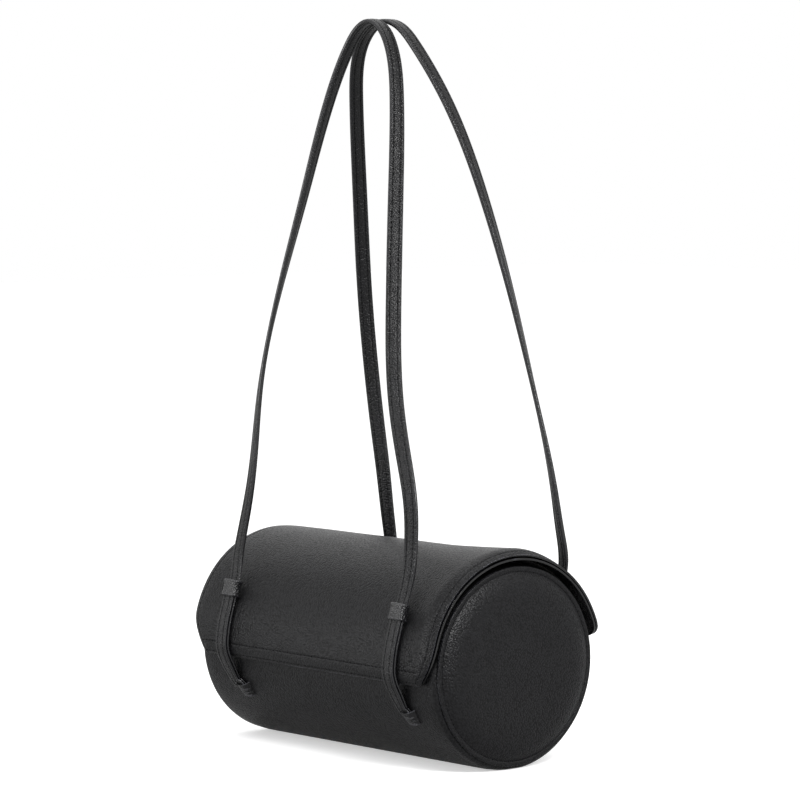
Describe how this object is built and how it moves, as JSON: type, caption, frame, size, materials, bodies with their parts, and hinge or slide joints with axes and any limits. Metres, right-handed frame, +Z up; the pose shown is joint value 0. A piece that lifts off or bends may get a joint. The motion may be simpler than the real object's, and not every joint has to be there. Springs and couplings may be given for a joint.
{
  "type": "bowling bag",
  "caption": "Barrel-shaped leather bowling bag with a wrap-over flap, two long flat straps doubled back through keepers, and a lined, board-stiffened body.",
  "frame": {"origin": "centre of the bag's footprint on the floor, under the middle of the barrel", "axes": "+X along the barrel to the right-hand end, -Y to the front where the flap closes, +Z up"},
  "size_m": [0.2406, 0.1632, 0.4856],
  "materials": {
    "pebbled_leather": "pebbled, black, low sheen",
    "smooth_leather": "fine-grained, black, low sheen",
    "lining_cloth": "matt black cloth",
    "fibre_board": "plain fibre board",
    "nickel_magnet": "plated"
  },
  "bodies": {
    "body": {"barrel_leather": "pebbled_leather", "barrel_board": "fibre_board", "barrel_lining": "lining_cloth", "mouth_binding": "smooth_leather", "end_panel_left": "pebbled_leather", "end_board_left": "fibre_board", "end_lining_left": "lining_cloth", "barrel_magnet_left": "nickel_magnet", "end_panel_right": "pebbled_leather", "end_board_right": "fibre_board", "end_lining_right": "lining_cloth", "barrel_magnet_right": "nickel_magnet", "strap_anchor_front_left": "smooth_leather", "strap_anchor_front_right": "smooth_leather", "strap_anchor_back_left": "smooth_leather", "strap_anchor_back_right": "smooth_leather"},
    "flap": {"flap_leather": "pebbled_leather", "flap_lining": "smooth_leather", "flap_board": "fibre_board", "flap_magnet_left": "nickel_magnet", "flap_magnet_right": "nickel_magnet"},
    "strap_front": {"strap_front": "smooth_leather", "keeper_front_left": "smooth_leather", "keeper_front_right": "smooth_leather"},
    "strap_back": {"strap_back": "smooth_leather", "keeper_back_left": "smooth_leather", "keeper_back_right": "smooth_leather"}
  },
  "joints": [
    {"name": "flap_hinge", "type": "hinge", "parent": "body", "child": "flap", "pos_m": [0, 0.07077, 0.07982], "axis": [-1, 0, 0], "range_deg": [0, 100]},
    {"name": "strap_front_swing", "type": "hinge", "parent": "body", "child": "strap_front", "pos_m": [0, -0.06698, 0.04127], "axis": [1, 0, 0], "range_deg": [0, 90]},
    {"name": "strap_back_swing", "type": "hinge", "parent": "body", "child": "strap_back", "pos_m": [0, 0.06698, 0.04127], "axis": [-1, 0, 0], "range_deg": [0, 90]}
  ],
  "couplings": [
    {"joint": "strap_front_swing", "follows": "flap_hinge", "ratio": 0.9},
    {"joint": "strap_back_swing", "follows": "flap_hinge", "ratio": 0.9}
  ]
}
